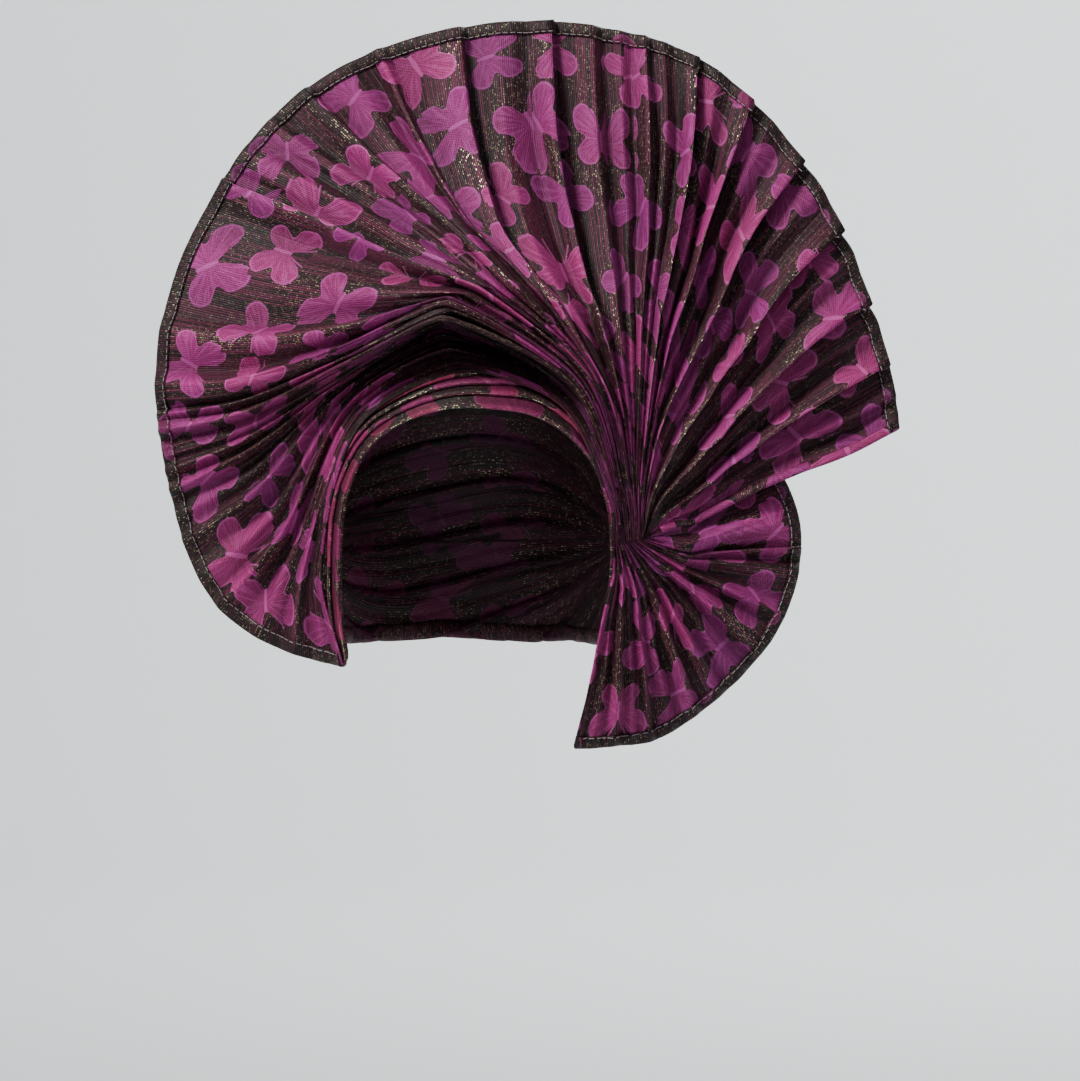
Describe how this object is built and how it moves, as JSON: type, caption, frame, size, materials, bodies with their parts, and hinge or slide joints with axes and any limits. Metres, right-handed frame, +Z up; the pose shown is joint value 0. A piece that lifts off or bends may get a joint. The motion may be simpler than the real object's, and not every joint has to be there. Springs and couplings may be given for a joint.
{
  "type": "gele head tie",
  "caption": "Stiff brocade cloth tied into a wrapped crown with folded brow pleats, a large round pleated fan over the head and a small fan below the temple; worn on the head.",
  "frame": {"origin": "middle of the hollow for the head, level with the wearer's eyebrows", "axes": "the wearer looks along -Y, +X is the wearer's left, +Z is up"},
  "size_m": [0.3643, 0.1785, 0.3601],
  "materials": {
    "wrap_cloth": "dark woven brocade with fine gold metal thread",
    "brow_cloth": "woven brocade with magenta motif and gold-flecked folded edges",
    "fan_cloth": "stiff woven brocade with magenta butterflies, fine ribs and gold metal thread"
  },
  "bodies": {
    "root": {"crown_wrap": "wrap_cloth", "brow_pleat_1": "brow_cloth", "brow_pleat_2": "brow_cloth", "brow_pleat_3": "brow_cloth", "brow_pleat_4": "brow_cloth", "great_fan": "fan_cloth", "temple_gather": "fan_cloth", "lower_fan": "fan_cloth"}
  },
  "joints": []
}
